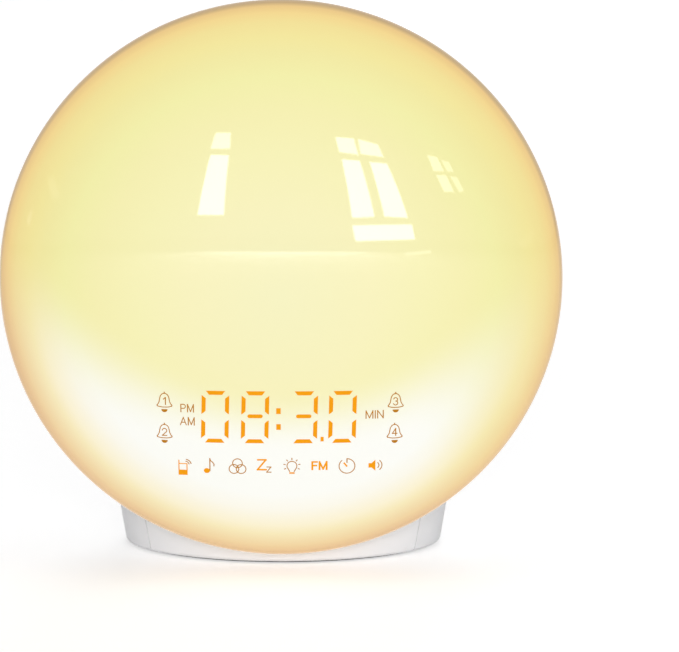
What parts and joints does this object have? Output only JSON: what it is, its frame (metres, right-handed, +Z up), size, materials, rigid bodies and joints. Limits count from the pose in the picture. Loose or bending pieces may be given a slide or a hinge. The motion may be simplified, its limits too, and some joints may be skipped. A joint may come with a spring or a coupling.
{
  "type": "sunrise alarm clock",
  "caption": "Bedside sunrise alarm clock: a round glowing dome with a digital display on a white globe with an oval foot and keys round its rim.",
  "frame": {"origin": "middle of the whole clock in plan, on the surface it stands on", "axes": "+Z up, -Y out of the light dome towards the user, +X to the right as seen from the front"},
  "size_m": [0.19, 0.1116, 0.196],
  "materials": {
    "board_green": "green solder mask",
    "cable": "white flat cable",
    "can_aluminium": "sleeved can",
    "chip_black": "moulded epoxy",
    "cone_paper": "treated paper",
    "connector_white": "natural nylon",
    "contact": "nickel plated",
    "diode": "phosphor yellow",
    "ferrite": "sintered ferrite",
    "foam": "closed-cell foam",
    "frame_steel": "black zinc",
    "grey_base": "light grey, matt",
    "key_plastic": "white, satin",
    "light_board": "white solder mask",
    "opal_lens": "opal, lit pale yellow",
    "plunger": "brown red",
    "radio_shield": "tinned shield",
    "reflector_white": "white, matt",
    "rubber": "dark grey, matt",
    "shroud_black": "black, matt",
    "socket_steel": "nickel plated",
    "steel": "plain zinc",
    "switch_black": "black",
    "white_shell": "white, semi-gloss moulded"
  },
  "bodies": {
    "housing": {"dome_lens": "opal_lens", "front_housing": "white_shell", "rear_housing": "white_shell", "base_plate": "grey_base", "foot_ring": "rubber", "battery_door": "grey_base", "door_screw": "steel", "coin_cell": "steel", "battery_contacts": "contact", "base_screws": "steel", "reflector": "reflector_white", "light_board": "light_board", "light_diodes": "diode", "reflector_screws": "steel", "display_shroud": "shroud_black", "display_board": "board_green", "display_diodes": "diode", "display_screws": "steel", "shroud_screws": "steel", "display_cable": "cable", "key_switches": "switch_black", "key_board": "board_green", "key_board_screws": "steel", "main_board": "board_green", "main_board_screws": "steel", "main_chips": "chip_black", "capacitors": "can_aluminium", "radio_module": "radio_shield", "board_connectors": "connector_white", "speaker_gasket": "foam", "speaker_surround": "rubber", "speaker_frame": "frame_steel", "speaker_magnet": "ferrite", "speaker_iron": "frame_steel", "speaker_screws": "steel", "port_board": "board_green", "port_screws": "steel", "usb_socket": "socket_steel", "power_jack": "switch_black", "case_screws": "steel"},
    "key_left_1": {"key_left_1": "key_plastic", "plunger_left_1": "plunger"},
    "key_left_2": {"key_left_2": "key_plastic", "plunger_left_2": "plunger"},
    "key_left_3": {"key_left_3": "key_plastic", "plunger_left_3": "plunger"},
    "key_left_4": {"key_left_4": "key_plastic", "plunger_left_4": "plunger"},
    "key_right_1": {"key_right_1": "key_plastic", "plunger_right_1": "plunger"},
    "key_right_2": {"key_right_2": "key_plastic", "plunger_right_2": "plunger"},
    "key_right_3": {"key_right_3": "key_plastic", "plunger_right_3": "plunger"},
    "key_right_4": {"key_right_4": "key_plastic", "plunger_right_4": "plunger"},
    "snooze_bar": {"snooze_bar": "key_plastic", "plunger_snooze": "plunger"},
    "speaker_cone": {"speaker_cone": "cone_paper"}
  },
  "joints": [
    {"name": "key_left_1_press", "type": "slide", "parent": "housing", "child": "key_left_1", "axis": [0.8846, 0, -0.4664], "range_m": [0, 0.0004], "stiffness_N_per_m": 150, "springref_m": -0.0005},
    {"name": "key_left_2_press", "type": "slide", "parent": "housing", "child": "key_left_2", "axis": [0.9677, 0, -0.2521], "range_m": [0, 0.0004], "stiffness_N_per_m": 150, "springref_m": -0.0005},
    {"name": "key_left_3_press", "type": "slide", "parent": "housing", "child": "key_left_3", "axis": [0.9997, 0, -0.0244], "range_m": [0, 0.0004], "stiffness_N_per_m": 150, "springref_m": -0.0005},
    {"name": "key_left_4_press", "type": "slide", "parent": "housing", "child": "key_left_4", "axis": [0.9789, 0, 0.2045], "range_m": [0, 0.0004], "stiffness_N_per_m": 150, "springref_m": -0.0005},
    {"name": "key_right_1_press", "type": "slide", "parent": "housing", "child": "key_right_1", "axis": [-0.8846, 0, -0.4664], "range_m": [0, 0.0004], "stiffness_N_per_m": 150, "springref_m": -0.0005},
    {"name": "key_right_2_press", "type": "slide", "parent": "housing", "child": "key_right_2", "axis": [-0.9677, 0, -0.2521], "range_m": [0, 0.0004], "stiffness_N_per_m": 150, "springref_m": -0.0005},
    {"name": "key_right_3_press", "type": "slide", "parent": "housing", "child": "key_right_3", "axis": [-0.9997, 0, -0.0244], "range_m": [0, 0.0004], "stiffness_N_per_m": 150, "springref_m": -0.0005},
    {"name": "key_right_4_press", "type": "slide", "parent": "housing", "child": "key_right_4", "axis": [-0.9789, 0, 0.2045], "range_m": [0, 0.0004], "stiffness_N_per_m": 150, "springref_m": -0.0005},
    {"name": "snooze_bar_press", "type": "slide", "parent": "housing", "child": "snooze_bar", "axis": [0, 0, -1], "range_m": [0, 0.0004], "stiffness_N_per_m": 150, "springref_m": -0.0005},
    {"name": "speaker_cone_travel", "type": "slide", "parent": "housing", "child": "speaker_cone", "axis": [0, 1, 0], "range_m": [-0.0008, 0.0008], "stiffness_N_per_m": 200, "deforming": ["speaker_surround"]}
  ]
}
